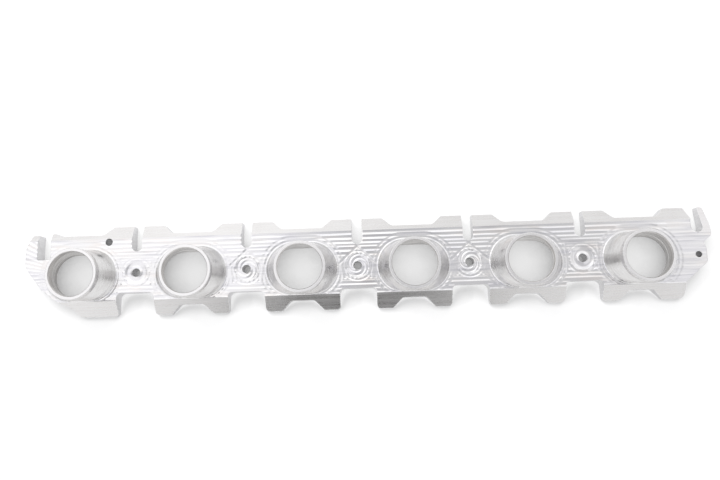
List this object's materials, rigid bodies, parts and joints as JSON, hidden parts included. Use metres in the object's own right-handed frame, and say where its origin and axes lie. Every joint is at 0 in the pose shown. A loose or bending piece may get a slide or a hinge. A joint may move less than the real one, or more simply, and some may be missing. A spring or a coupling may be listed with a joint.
{
  "type": "turbo manifold flange",
  "caption": "Long billet aluminium head flange with round runner stubs blended from oval ports, slotted stud tabs, arched feet and hooked ends.",
  "frame": {"origin": "axis of the centre bolt hole, on the flat mating face", "axes": "+X along the row of ports, +Y towards the edge with the stud slots, +Z out of the machined face along the stubs"},
  "size_m": [0.5987, 0.079, 0.0295],
  "materials": {
    "machined_aluminium": "bare milled billet, satin with bright tool marks"
  },
  "bodies": {
    "root": {"flange": "machined_aluminium"}
  },
  "joints": []
}
